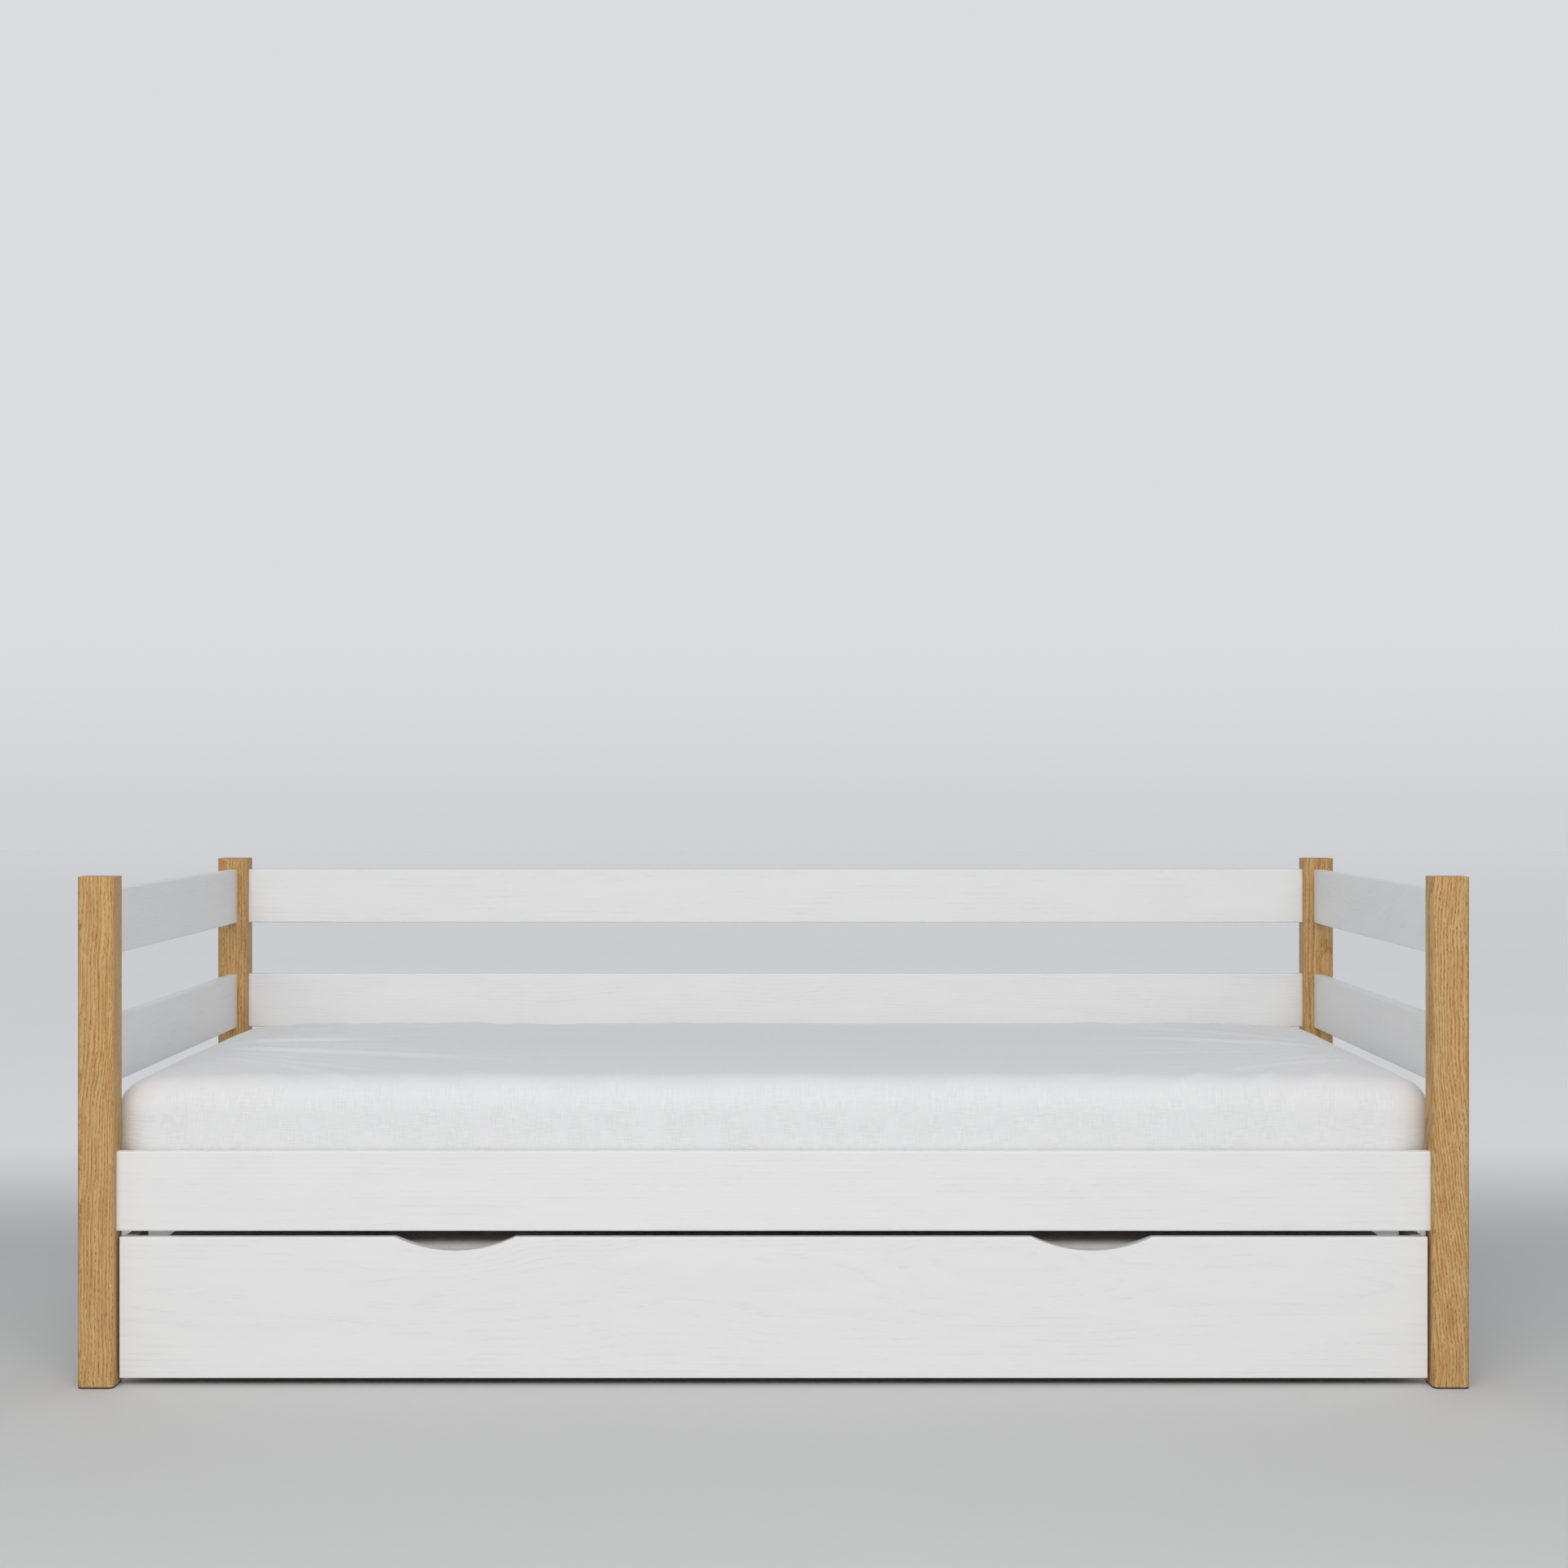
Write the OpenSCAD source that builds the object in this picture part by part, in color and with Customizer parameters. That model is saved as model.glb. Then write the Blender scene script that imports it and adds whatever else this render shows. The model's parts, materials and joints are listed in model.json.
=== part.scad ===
// Trundle bed: a daybed of four square oak posts and painted boards, and a low wheeled drawer bed
// that rolls out from under it. Lengths are in millimetres. The origin is on the floor under the
// middle of the bed, +X runs along the bed, -Y points to the front, and +Z points up.

/* [Frame] */
// Length of the bed over its posts
bed_length = 2090; // [2050:10:2190]
// Depth of the bed over its posts
bed_depth = 990; // [960:5:1090]
// Height of the tops of the posts above the floor
post_top = 768; // [765:1:850]
// Side of the square posts
post_side = 55; // [52:1:65]
// Radius of the upright edges of the posts
post_edge = 8; // [3:0.5:12]
// Thickness of the black glide under each post
glide_h = 2.5; // [2:0.5:5]

/* [Boards] */
// Thickness of every board
board_t = 18; // [18:0.5:22]
// Radius of the long edges of the boards
board_edge = 2.5; // [0.5:0.1:3]
// Height of the underside of the deep lower boards above the floor
deep_low = 233.5; // [231:0.5:245]
// Height of the deep lower boards
deep_h = 120; // [115:0.5:140]
// Height of the top edge of the upper guard boards above the floor
guard_top = 747; // [740:1:760]
// Height of each guard board
guard_h = 100; // [90:1:105]
// Open gap between the upper and the lower guard board
guard_gap = 96; // [80:1:110]

/* [Slats and mattress] */
// Number of slats under the mattress
slat_count = 13; // [13:1:13]
// Width of a slat
slat_w = 70; // [60:1:80]
// Distance from the middle of one slat to the next
slat_pitch = 155; // [140:1:155]
// Thickness of a slat
slat_t = 18; // [16:1:20]
// Height of the tops of the slats above the floor
slat_top = 302; // [296:1:310]
// Height of the top of the made-up mattress above the floor
bed_top = 462; // [440:1:480]

/* [Drawer bed] */
// Open slot between the drawer front and the board above it
slot = 9; // [6:0.5:12]
// Gap between the drawer front and the floor
floor_gap = 11.5; // [8:0.5:20]
// Gap between the drawer front and each post
front_gap = 4.5; // [3:0.5:8]
// Gap between the drawer box and each post
box_gap = 8; // [6:0.5:12]
// Distance from the middle of the bed to the middle of each grip
grip_x = 480; // [300:5:700]
// Width of a grip along the top edge of the drawer front
grip_w = 182; // [120:1:220]
// Depth of a grip at its middle
grip_depth = 20.5; // [15:0.5:30]
// Height of the top of the guest mattress above the floor
guest_top = 210; // [180:1:210]

/* [Castors] */
// Radius of a castor wheel
wheel_r = 16; // [14:0.5:17]
// Width of a castor wheel
wheel_w = 16; // [12:1:20]
// Height of a castor from the floor to its mounting plate's top
castor_h = 40; // [38:1:42]
// Distance from the middle of the bed to each pair of castors
castor_x = 888; // [700:1:888]

/* [Hidden] */

// Colours
oak = "BurlyWood";
paint = "WhiteSmoke";
pine = "Wheat";
beech = "Tan";
linen = "GhostWhite";
ticking = "Gainsboro";
steel = "Silver";
black = "DimGray";
nylon = "SlateGray";

// Frame places
post_x = bed_length / 2 - post_side / 2;
post_y = bed_depth / 2 - post_side / 2;
span_x = bed_length - 2 * post_side;
span_y = bed_depth - 2 * post_side;
face_y = post_y - board_t / 2;
deep_z = deep_low + deep_h / 2;
upper_z = guard_top - guard_h / 2;
lower_z = upper_z - guard_h - guard_gap;
post_chamfer = 1;

// Fasteners of the frame
deep_bolt_z = [deep_z - 32, deep_z + 32];
guard_bolt_z = [lower_z, upper_z];
deep_dowel_z = [deep_z - 38, deep_z, deep_z + 38];
guard_dowel_z = [lower_z - 32, lower_z + 32, upper_z - 32, upper_z + 32];
bolt_r = 3;
bolt_len = 100;
bolt_head_r = 6.5;
bolt_head_h = 6;
bolt_sink = 7;
bolt_play = 0.3;
nut_r = 5;
nut_len = 14;
nut_inset = 40;
dowel_r = 4;
dowel_len = 40;
dowel_play = 0.05;
screw_r = 2;
screw_len = 30;
screw_head_r = 4;
screw_head_h = 2.4;
screw_play = 0.05;

// Slats and mattress
ledger_t = 20;
ledger_h = 28;
ledger_z = slat_top - slat_t - ledger_h / 2;
ledger_screw_x = [for (i = [-3 : 3]) i * 300];
webbing_y = 400;
webbing_w = 25;
webbing_t = 0.8;
mattress_l = bed_length - 90;
mattress_w = bed_depth - 90;
mattress_corner = 60;
mattress_round = 40;
sheet_t = 1;
sheet_play = 0.3;
sheet_hem = 90;

// Stop blocks that end the drawer's travel
stop_x = 947;
stop_w = 46;
stop_tip_w = 15;
stop_t = 20;
stop_low = 213;
stop_relief = 2;
stop_high = ledger_z - ledger_h / 2;
stop_screw_z = (deep_low + stop_high) / 2;

// Drawer bed
drawer_top = deep_low - slot;
front_w = span_x - 2 * front_gap;
front_h = drawer_top - floor_gap;
box_w = span_x - 2 * box_gap;
box_low = 22;
box_h = drawer_top - box_low;
box_z = box_low + box_h / 2;
box_front_y = -face_y;
box_back_y = face_y - stop_t - 1;
inner_w = box_w - 2 * board_t;
inner_back_y = box_back_y - board_t;
inner_mid_y = (box_front_y + inner_back_y) / 2;
inner_depth = inner_back_y - box_front_y;
side_x = box_w / 2 - board_t / 2;
side_len = box_back_y - box_front_y;
side_y = (box_front_y + box_back_y) / 2;
grip_r = (grip_w * grip_w / 4 + grip_depth * grip_depth) / (2 * grip_depth);
bearer_w = 80;
bearer_t = 18;
bearer_low = castor_h;
drawer_ledger_t = 20;
drawer_ledger_h = 18;
drawer_ledger_low = bearer_low + bearer_t;
drawer_slat_t = 12;
drawer_slat_pitch = 148;
drawer_slat_low = drawer_ledger_low + drawer_ledger_h;
guest_low = drawer_slat_low + drawer_slat_t;
guest_l = 1900;
guest_w = 860;
guest_corner = 40;
guest_round = 24;
drawer_dowel_z = [for (i = [-1 : 1]) box_z + i * 66];
drawer_dowel_depth = 12;
drawer_ledger_screw_x = [for (i = [-3 : 3]) i * 280];
bearer_screw_dx = 25;

// Castors
castor_y = [box_front_y + 70, inner_back_y - 70];
castor_plate = [44, 36, 2];
castor_hole = [16, 12];
fork_t = 2;
fork_gap = 0.75;
fork_foot_r = 7;
fork_top_w = 28;
axle_r = 2.5;
axle_play = 0.05;
axle_head_r = 4;
axle_head_h = 1.5;
hub_r = 5.5;
rim_r = 12.5;
dish = 2;
tread_r = 2.5;
castor_screw_r = 1.9;
castor_screw_len = 14;
castor_screw_head_r = 3.4;
castor_screw_head_h = 1.8;

// Flat shape: a rectangle with round corners, centred
module round_rect(w, h, r) {
    square([w - 2 * r, h], center = true);
    square([w, h - 2 * r], center = true);
    for (x = [-1, 1], y = [-1, 1])
        translate([x * (w / 2 - r), y * (h / 2 - r)])
            circle(r, $fn = 32);
}

// Board lying along X, centred, h high and t thick
module board_x(len, h, t) {
    rotate([90, 0, 90])
        linear_extrude(len, center = true)
            round_rect(t, h, board_edge);
}

// Board lying along Y, centred, h high and t thick
module board_y(len, h, t) {
    rotate([90, 0, 0])
        linear_extrude(len, center = true)
            round_rect(t, h, board_edge);
}

// Round bar centred on its middle, along X or Y
module bar_x(r, len) {
    rotate([0, 90, 0])
        cylinder(r = r, h = len, center = true, $fn = 32);
}

module bar_y(r, len) {
    rotate([90, 0, 0])
        cylinder(r = r, h = len, center = true, $fn = 32);
}

// Slab with soft round edges that lies on z = 0
module soft_slab(l, w, h, corner, edge) {
    hull()
        for (x = [-1, 1], y = [-1, 1], z = [edge, h - edge])
            translate([x * (l / 2 - corner), y * (w / 2 - corner), z])
                rotate_extrude($fn = 32)
                    intersection() {
                        translate([corner - edge, 0])
                            circle(edge, $fn = 24);
                        translate([0, -edge])
                            square([corner, 2 * edge]);
                    }
}

// Countersunk wood screw: its head's top is at z = 0 and it points down -Z
module wood_screw() {
    difference() {
        union() {
            translate([0, 0, -screw_head_h])
                cylinder(r1 = screw_r, r2 = screw_head_r, h = screw_head_h, $fn = 32);
            translate([0, 0, -screw_len])
                cylinder(r = screw_r, h = screw_len - 0.5, $fn = 32);
        }
        translate([0, 0, -1.6])
            cylinder(r = 1.5, h = 2, $fn = 6);
    }
}

// Hole that the wood screw fits, with its countersink
module screw_hole() {
    translate([0, 0, -screw_head_h - screw_play])
        cylinder(r1 = screw_r, r2 = screw_head_r + screw_play, h = screw_head_h + screw_play, $fn = 32);
    translate([0, 0, -screw_len - 1])
        cylinder(r = screw_r + screw_play, h = screw_len + 2, $fn = 32);
}

// Bolt from the outer face of a post through to the barrel nut, head towards +X
module bed_bolt() {
    difference() {
        union() {
            translate([-bolt_len / 2, 0, 0])
                bar_x(bolt_r, bolt_len);
            translate([bolt_head_h / 2, 0, 0])
                bar_x(bolt_head_r, bolt_head_h);
        }
        translate([bolt_head_h, 0, 0])
            rotate([0, 90, 0])
                cylinder(r = 2.9, h = 8, center = true, $fn = 6);
    }
}

module barrel_nut() {
    difference() {
        bar_y(nut_r, nut_len);
        bar_x(bolt_r + 0.05, 4 * nut_r);
    }
}

// Places one child at every bolt of the frame; the child's origin is the seat of the bolt's head
module at_bolts() {
    for (side = [0, 1])
        mirror([side, 0, 0])
            translate([bed_length / 2 - bolt_sink, 0, 0]) {
                for (y = [-1, 1], z = deep_bolt_z)
                    translate([0, y * post_y, z])
                        children();
                for (z = guard_bolt_z)
                    translate([0, post_y, z])
                        children();
            }
}

// Places one child at every frame dowel that lies along Y
module at_dowels_y() {
    for (x = [-1, 1], y = [-1, 1], z = concat(deep_dowel_z, guard_dowel_z))
        translate([x * post_x, y * span_y / 2, z])
            children();
}

// Places one child at every frame dowel that lies along X
module at_dowels_x() {
    for (x = [-1, 1], z = guard_dowel_z)
        translate([x * span_x / 2, post_y, z])
            children();
}

// Every hole that the frame's bolts and dowels need, in their own places
module frame_holes() {
    at_bolts() {
        translate([-bolt_len / 2 - 1, 0, 0])
            bar_x(bolt_r + bolt_play, bolt_len + 4);
        translate([bolt_sink, 0, 0])
            bar_x(bolt_head_r + 1, 2 * bolt_sink);
    }
    at_dowels_y()
        bar_y(dowel_r + dowel_play, dowel_len + 2);
    at_dowels_x()
        bar_x(dowel_r + dowel_play, dowel_len + 2);
}

// Blind holes for the barrel nuts, open towards dir along Y
module nut_holes(y, heights, dir) {
    depth = board_t - 1.5;
    for (x = [-1, 1], z = heights)
        translate([x * (span_x / 2 - nut_inset), y + dir * (board_t - depth) / 2, z])
            bar_y(nut_r + 0.1, depth + 0.01);
}

// One post: x and y are -1 or 1
module post(x, y) {
    color(oak)
        difference() {
            translate([x * post_x, y * post_y, glide_h])
                linear_extrude(post_top - glide_h)
                    round_rect(post_side, post_side, post_edge);
            translate([x * post_x, y * post_y, post_top])
                for (a = [0 : 90 : 270])
                    rotate([0, 0, a])
                        translate([post_side / 2, 0, 0])
                            rotate([0, 45, 0])
                                cube([post_chamfer * sqrt(2), post_side + 2, post_chamfer * sqrt(2)],
                                     center = true);
            frame_holes();
            translate([x * post_x, y * post_y, 0])
                cylinder(r = 4 + dowel_play, h = 30, $fn = 32);
        }
}

// Black glides, each with a stem pressed up into its post
module post_glides() {
    color(black)
        for (x = [-1, 1], y = [-1, 1])
            translate([x * post_x, y * post_y, 0]) {
                linear_extrude(glide_h)
                    round_rect(post_side - 1, post_side - 1, post_edge);
                cylinder(r = 4, h = 22, $fn = 32);
            }
}

// Long board between two posts: y is -1 at the front or 1 at the back
module long_rail(y, z, h, heights, dir) {
    color(paint)
        difference() {
            translate([0, y * post_y, z])
                board_x(span_x, h, board_t);
            frame_holes();
            nut_holes(y * post_y, heights, dir);
            at_frame_screws()
                screw_hole();
        }
}

// Short board between the front and the back post: x is -1 at the left or 1 at the right
module side_rail(x, z, h) {
    color(paint)
        difference() {
            translate([x * post_x, 0, z])
                board_y(span_y, h, board_t);
            frame_holes();
        }
}

// Places one child at every screw of the ledgers and stop blocks; it points out to the rail
module at_frame_screws() {
    for (y = [-1, 1]) {
        for (x = ledger_screw_x)
            translate([x, y * (face_y - ledger_t), ledger_z])
                rotate([y * 90, 0, 0])
                    children();
        for (x = [-1, 1], dx = [9, stop_w - 9])
            translate([x * (stop_x - dx), y * (face_y - stop_t), stop_screw_z])
                rotate([y * 90, 0, 0])
                    children();
    }
}

module frame_screws() {
    color(steel)
        at_frame_screws()
            wood_screw();
}

// Ledger that carries the slat ends: y is -1 at the front or 1 at the back
module ledger(y) {
    color(pine)
        difference() {
            translate([0, y * (face_y - ledger_t / 2), ledger_z])
                board_x(span_x, ledger_h, ledger_t);
            at_frame_screws()
                screw_hole();
        }
}

module bed_slat(i) {
    color(pine)
        translate([(i - (slat_count + 1) / 2) * slat_pitch, 0, slat_top - slat_t / 2])
            rotate([90, 0, 0])
                linear_extrude(2 * face_y - 3, center = true)
                    round_rect(slat_w, slat_t, 3);
}

// Two tapes under the slats that keep them apart
module slat_webbing() {
    tape_l = (slat_count - 1) * slat_pitch + slat_w;
    color(linen)
        for (y = [-1, 1])
            translate([0, y * webbing_y, slat_top - slat_t - webbing_t / 2])
                cube([tape_l, webbing_w, webbing_t], center = true);
}

// Mattress core inside the fitted sheet
module bed_mattress() {
    gap = sheet_t + sheet_play;
    color(ticking)
        translate([0, 0, slat_top + gap])
            soft_slab(mattress_l - 2 * gap, mattress_w - 2 * gap, bed_top - slat_top - 2 * gap,
                      mattress_corner - gap, mattress_round - gap);
}

// Fitted sheet: a thin skin over the mattress, with its hem turned under it
module fitted_sheet() {
    color(linen)
        difference() {
            translate([0, 0, slat_top])
                soft_slab(mattress_l, mattress_w, bed_top - slat_top, mattress_corner, mattress_round);
            translate([0, 0, slat_top + sheet_t])
                soft_slab(mattress_l - 2 * sheet_t, mattress_w - 2 * sheet_t,
                          bed_top - slat_top - 2 * sheet_t,
                          mattress_corner - sheet_t, mattress_round - sheet_t);
            cube([mattress_l - 2 * sheet_hem, mattress_w - 2 * sheet_hem, 2 * slat_top + 4], center = true);
        }
}

module bed_bolts() {
    color(steel)
        at_bolts()
            bed_bolt();
}

module barrel_nuts() {
    color(steel)
        at_bolts()
            translate([-(post_side - bolt_sink + nut_inset), 0, 0])
                barrel_nut();
}

module frame_dowels() {
    color(beech) {
        at_dowels_y()
            bar_y(dowel_r, dowel_len);
        at_dowels_x()
            bar_x(dowel_r, dowel_len);
    }
}

// Pair of stop blocks: y is -1 at the front or 1 at the back
module stops(y) {
    taper_top = deep_low;
    color(paint)
        difference() {
            for (x = [0, 1])
                mirror([x, 0, 0])
                    translate([0, y * (face_y - stop_t / 2), 0])
                        rotate([90, 0, 0])
                            linear_extrude(stop_t, center = true)
                                polygon([
                                    [stop_x, stop_low],
                                    [stop_x, stop_high],
                                    [stop_x - stop_w, stop_high],
                                    [stop_x - stop_w, taper_top],
                                    [stop_x - stop_tip_w, stop_low]
                                ]);
            translate([0, y * face_y, taper_top / 2])
                cube([bed_length, 2 * stop_relief, taper_top], center = true);
            at_frame_screws()
                screw_hole();
        }
}

// Drawer front with its two grips in the top edge
module drawer_front() {
    color(paint)
        difference() {
            translate([0, -post_y, floor_gap + front_h / 2])
                board_x(front_w, front_h, board_t);
            for (x = [-1, 1])
                translate([x * grip_x, -post_y, drawer_top - grip_depth + grip_r])
                    rotate([90, 0, 0])
                        cylinder(r = grip_r, h = 2 * board_t, center = true, $fn = 128);
            drawer_dowel_holes();
            at_drawer_screws()
                screw_hole();
        }
}

module drawer_back() {
    color(paint)
        difference() {
            translate([0, box_back_y - board_t / 2, box_z])
                board_x(inner_w, box_h, board_t);
            drawer_dowel_holes();
            at_drawer_screws()
                screw_hole();
        }
}

// Side of the drawer box: x is -1 at the left or 1 at the right
module drawer_side(x) {
    color(paint)
        difference() {
            translate([x * side_x, side_y, box_z])
                board_y(side_len, box_h, board_t);
            drawer_dowel_holes();
        }
}

// Places one child at every dowel of the drawer box; the child's +Z points into the longer hole
module at_drawer_dowels() {
    for (x = [-1, 1], z = drawer_dowel_z) {
        translate([x * side_x, box_front_y, z])
            rotate([-90, 0, 0])
                children();
        translate([x * inner_w / 2, box_back_y - board_t / 2, z])
            rotate([0, -x * 90, 0])
                children();
    }
}

module drawer_dowel_holes() {
    at_drawer_dowels()
        translate([0, 0, -drawer_dowel_depth - 1])
            cylinder(r = dowel_r + dowel_play, h = dowel_len + 2, $fn = 32);
}

module drawer_dowels() {
    color(beech)
        at_drawer_dowels()
            translate([0, 0, -drawer_dowel_depth])
                cylinder(r = dowel_r, h = dowel_len, $fn = 32);
}

// Places one child at every screw of the drawer's ledgers and bearers; it points to the panel or up
module at_drawer_screws() {
    ledger_mid_z = drawer_ledger_low + drawer_ledger_h / 2;
    for (x = drawer_ledger_screw_x) {
        translate([x, box_front_y + drawer_ledger_t, ledger_mid_z])
            rotate([-90, 0, 0])
                children();
        translate([x, inner_back_y - drawer_ledger_t, ledger_mid_z])
            rotate([90, 0, 0])
                children();
    }
    for (x = [-castor_x, 0, castor_x], dx = [-bearer_screw_dx, bearer_screw_dx],
         y = [box_front_y + drawer_ledger_t / 2, inner_back_y - drawer_ledger_t / 2])
        translate([x + dx, y, bearer_low])
            rotate([180, 0, 0])
                children();
}

module drawer_screws() {
    color(steel)
        at_drawer_screws()
            wood_screw();
}

// Ledger on the drawer's front or back panel, with its middle at y
module drawer_ledger(y) {
    color(pine)
        difference() {
            translate([0, y, drawer_ledger_low + drawer_ledger_h / 2])
                board_x(inner_w - 2, drawer_ledger_h, drawer_ledger_t);
            at_drawer_screws()
                screw_hole();
        }
}

// Cross bearer under the ledgers, with its middle at x
module bearer(x) {
    color(pine)
        difference() {
            translate([x, inner_mid_y, bearer_low + bearer_t / 2])
                rotate([90, 0, 0])
                    linear_extrude(inner_depth - 2, center = true)
                        round_rect(bearer_w, bearer_t, board_edge);
            at_drawer_screws()
                screw_hole();
            at_castors()
                castor_screw_holes();
        }
}

module drawer_slats() {
    color(pine)
        for (i = [-6 : 6])
            translate([i * drawer_slat_pitch, inner_mid_y, drawer_slat_low + drawer_slat_t / 2])
                rotate([90, 0, 0])
                    linear_extrude(inner_depth - 4, center = true)
                        round_rect(slat_w, drawer_slat_t, 2);
}

module guest_mattress() {
    color(linen)
        translate([0, inner_mid_y, guest_low + 0.3])
            soft_slab(guest_l, guest_w, guest_top - guest_low - 0.3, guest_corner, guest_round);
}

// Places one child at every castor, on the floor under its axle
module at_castors() {
    for (x = [-castor_x, castor_x], y = castor_y)
        translate([x, y, 0])
            children();
}

// Places one child at the four screws of one castor plate
module at_plate_holes() {
    for (x = [-1, 1], y = [-1, 1])
        translate([x * castor_hole[0], y * castor_hole[1], 0])
            children();
}

module castor_screw_holes() {
    at_plate_holes()
        translate([0, 0, castor_h - 1])
            cylinder(r = castor_screw_r + screw_play, h = castor_screw_len, $fn = 32);
}

// Pressed steel fork: a plate with two cheeks that hold the axle
module castor_fork() {
    cheek_x = wheel_w / 2 + fork_gap + fork_t / 2;
    difference() {
        union() {
            translate([0, 0, castor_h - castor_plate[2] / 2])
                cube(castor_plate, center = true);
            for (x = [-1, 1])
                translate([x * cheek_x, 0, 0])
                    rotate([90, 0, 90])
                        linear_extrude(fork_t, center = true)
                            fork_cheek();
        }
        translate([0, 0, wheel_r])
            bar_x(axle_r + 0.02, 4 * wheel_w);
        at_plate_holes()
            cylinder(r = castor_screw_r + 0.2, h = 2 * castor_h, $fn = 32);
    }
}

// Outline of one cheek, with its foot round the axle
module fork_cheek() {
    translate([0, wheel_r])
        circle(fork_foot_r, $fn = 48);
    polygon([
        [-fork_top_w / 2, castor_h - 1],
        [fork_top_w / 2, castor_h - 1],
        [fork_top_w / 2, castor_h - 6],
        [fork_foot_r, wheel_r],
        [-fork_foot_r, wheel_r],
        [-fork_top_w / 2, castor_h - 6]
    ]);
}

module castor_forks() {
    color(steel)
        at_castors()
            castor_fork();
}

module castor_axles() {
    outer = wheel_w / 2 + fork_gap + fork_t;
    color(steel)
        at_castors()
            translate([0, 0, wheel_r]) {
                bar_x(axle_r, 2 * outer);
                for (x = [-1, 1])
                    translate([x * (outer + axle_head_h / 2), 0, 0])
                        bar_x(axle_head_r, axle_head_h);
            }
}

module castor_screws() {
    color(steel)
        at_castors()
            at_plate_holes() {
                translate([0, 0, castor_h - castor_plate[2]])
                    cylinder(r = castor_screw_r, h = castor_screw_len, $fn = 32);
                translate([0, 0, castor_h - castor_plate[2] - castor_screw_head_h])
                    cylinder(r = castor_screw_head_r, h = castor_screw_head_h, $fn = 32);
            }
}

// Half outline of a wheel, from its bore out to its tread, turned about the axle
module wheel_outline() {
    difference() {
        union() {
            translate([axle_r + axle_play, -wheel_w / 2])
                square([wheel_r - tread_r - axle_r - axle_play, wheel_w]);
            translate([rim_r - 1, -wheel_w / 2 + tread_r])
                square([wheel_r - rim_r + 1, wheel_w - 2 * tread_r]);
            for (y = [-1, 1])
                translate([wheel_r - tread_r, y * (wheel_w / 2 - tread_r)])
                    circle(tread_r, $fn = 32);
        }
        for (y = [-1, 1])
            translate([hub_r, y * wheel_w / 2 - dish])
                square([rim_r - hub_r, 2 * dish]);
    }
}

// Castor wheel: x is -1 or 1, and y is 0 at the front or 1 at the back
module castor_wheel(x, y) {
    color(nylon)
        translate([x * castor_x, castor_y[y], wheel_r])
            rotate([0, 90, 0])
                rotate_extrude($fn = 96)
                    wheel_outline();
}

post(-1, -1);  // post_front_left
post(1, -1);  // post_front_right
post(-1, 1);  // post_back_left
post(1, 1);  // post_back_right
post_glides();
long_rail(-1, deep_z, deep_h, deep_bolt_z, 1);  // front_rail
long_rail(1, deep_z, deep_h, deep_bolt_z, -1);  // rear_rail
side_rail(-1, deep_z, deep_h);  // left_end_rail
side_rail(1, deep_z, deep_h);  // right_end_rail
long_rail(1, upper_z, guard_h, [upper_z], 1);  // upper_back_rail
long_rail(1, lower_z, guard_h, [lower_z], 1);  // lower_back_rail
side_rail(-1, upper_z, guard_h);  // left_upper_side_rail
side_rail(1, upper_z, guard_h);  // right_upper_side_rail
side_rail(-1, lower_z, guard_h);  // left_lower_side_rail
side_rail(1, lower_z, guard_h);  // right_lower_side_rail
ledger(-1);  // front_ledger
ledger(1);  // rear_ledger
for (i = [1 : slat_count])
    bed_slat(i);
slat_webbing();
bed_mattress();
fitted_sheet();
bed_bolts();
barrel_nuts();
frame_dowels();
frame_screws();
stops(-1);  // front_stops
stops(1);  // rear_stops
drawer_front();
drawer_back();
drawer_side(-1);  // drawer_left_side
drawer_side(1);  // drawer_right_side
drawer_ledger(box_front_y + drawer_ledger_t / 2);  // drawer_front_ledger
drawer_ledger(inner_back_y - drawer_ledger_t / 2);  // drawer_back_ledger
bearer(-castor_x);  // left_bearer
bearer(0);  // middle_bearer
bearer(castor_x);  // right_bearer
drawer_slats();
guest_mattress();
drawer_dowels();
drawer_screws();
castor_forks();
castor_axles();
castor_screws();
castor_wheel(-1, 0);  // castor_wheel_front_left
castor_wheel(1, 0);  // castor_wheel_front_right
castor_wheel(-1, 1);  // castor_wheel_back_left
castor_wheel(1, 1);  // castor_wheel_back_right
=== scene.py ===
"""Looks of the trundle bed: materials on the CAD frame, the soft pieces, the light and the camera.

Lengths are in metres in the frame of the CAD model: x runs along the bed, y towards its back and
z up. Colours are linear RGBA.
"""

import json
import math

import bpy
import numpy as np
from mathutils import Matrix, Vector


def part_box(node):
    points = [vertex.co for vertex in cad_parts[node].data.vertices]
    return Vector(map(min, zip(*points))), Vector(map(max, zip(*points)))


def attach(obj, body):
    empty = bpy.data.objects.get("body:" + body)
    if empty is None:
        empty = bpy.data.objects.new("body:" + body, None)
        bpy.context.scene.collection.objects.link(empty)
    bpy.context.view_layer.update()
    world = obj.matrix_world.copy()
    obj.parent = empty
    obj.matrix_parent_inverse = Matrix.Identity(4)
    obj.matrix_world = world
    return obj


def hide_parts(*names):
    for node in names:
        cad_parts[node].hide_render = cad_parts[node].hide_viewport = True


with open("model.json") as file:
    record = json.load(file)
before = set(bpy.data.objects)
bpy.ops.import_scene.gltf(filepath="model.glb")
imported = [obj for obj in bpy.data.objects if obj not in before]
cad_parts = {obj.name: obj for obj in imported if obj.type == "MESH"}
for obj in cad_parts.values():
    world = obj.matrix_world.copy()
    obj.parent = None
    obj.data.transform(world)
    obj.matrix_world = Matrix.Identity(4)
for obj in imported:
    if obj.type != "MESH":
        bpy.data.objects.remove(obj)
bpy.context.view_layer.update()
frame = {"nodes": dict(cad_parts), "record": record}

MM = 0.001
FULL_TURN = 2 * math.pi
rng = np.random.default_rng(7)


# ---------------------------------------------------------------- colours

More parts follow.
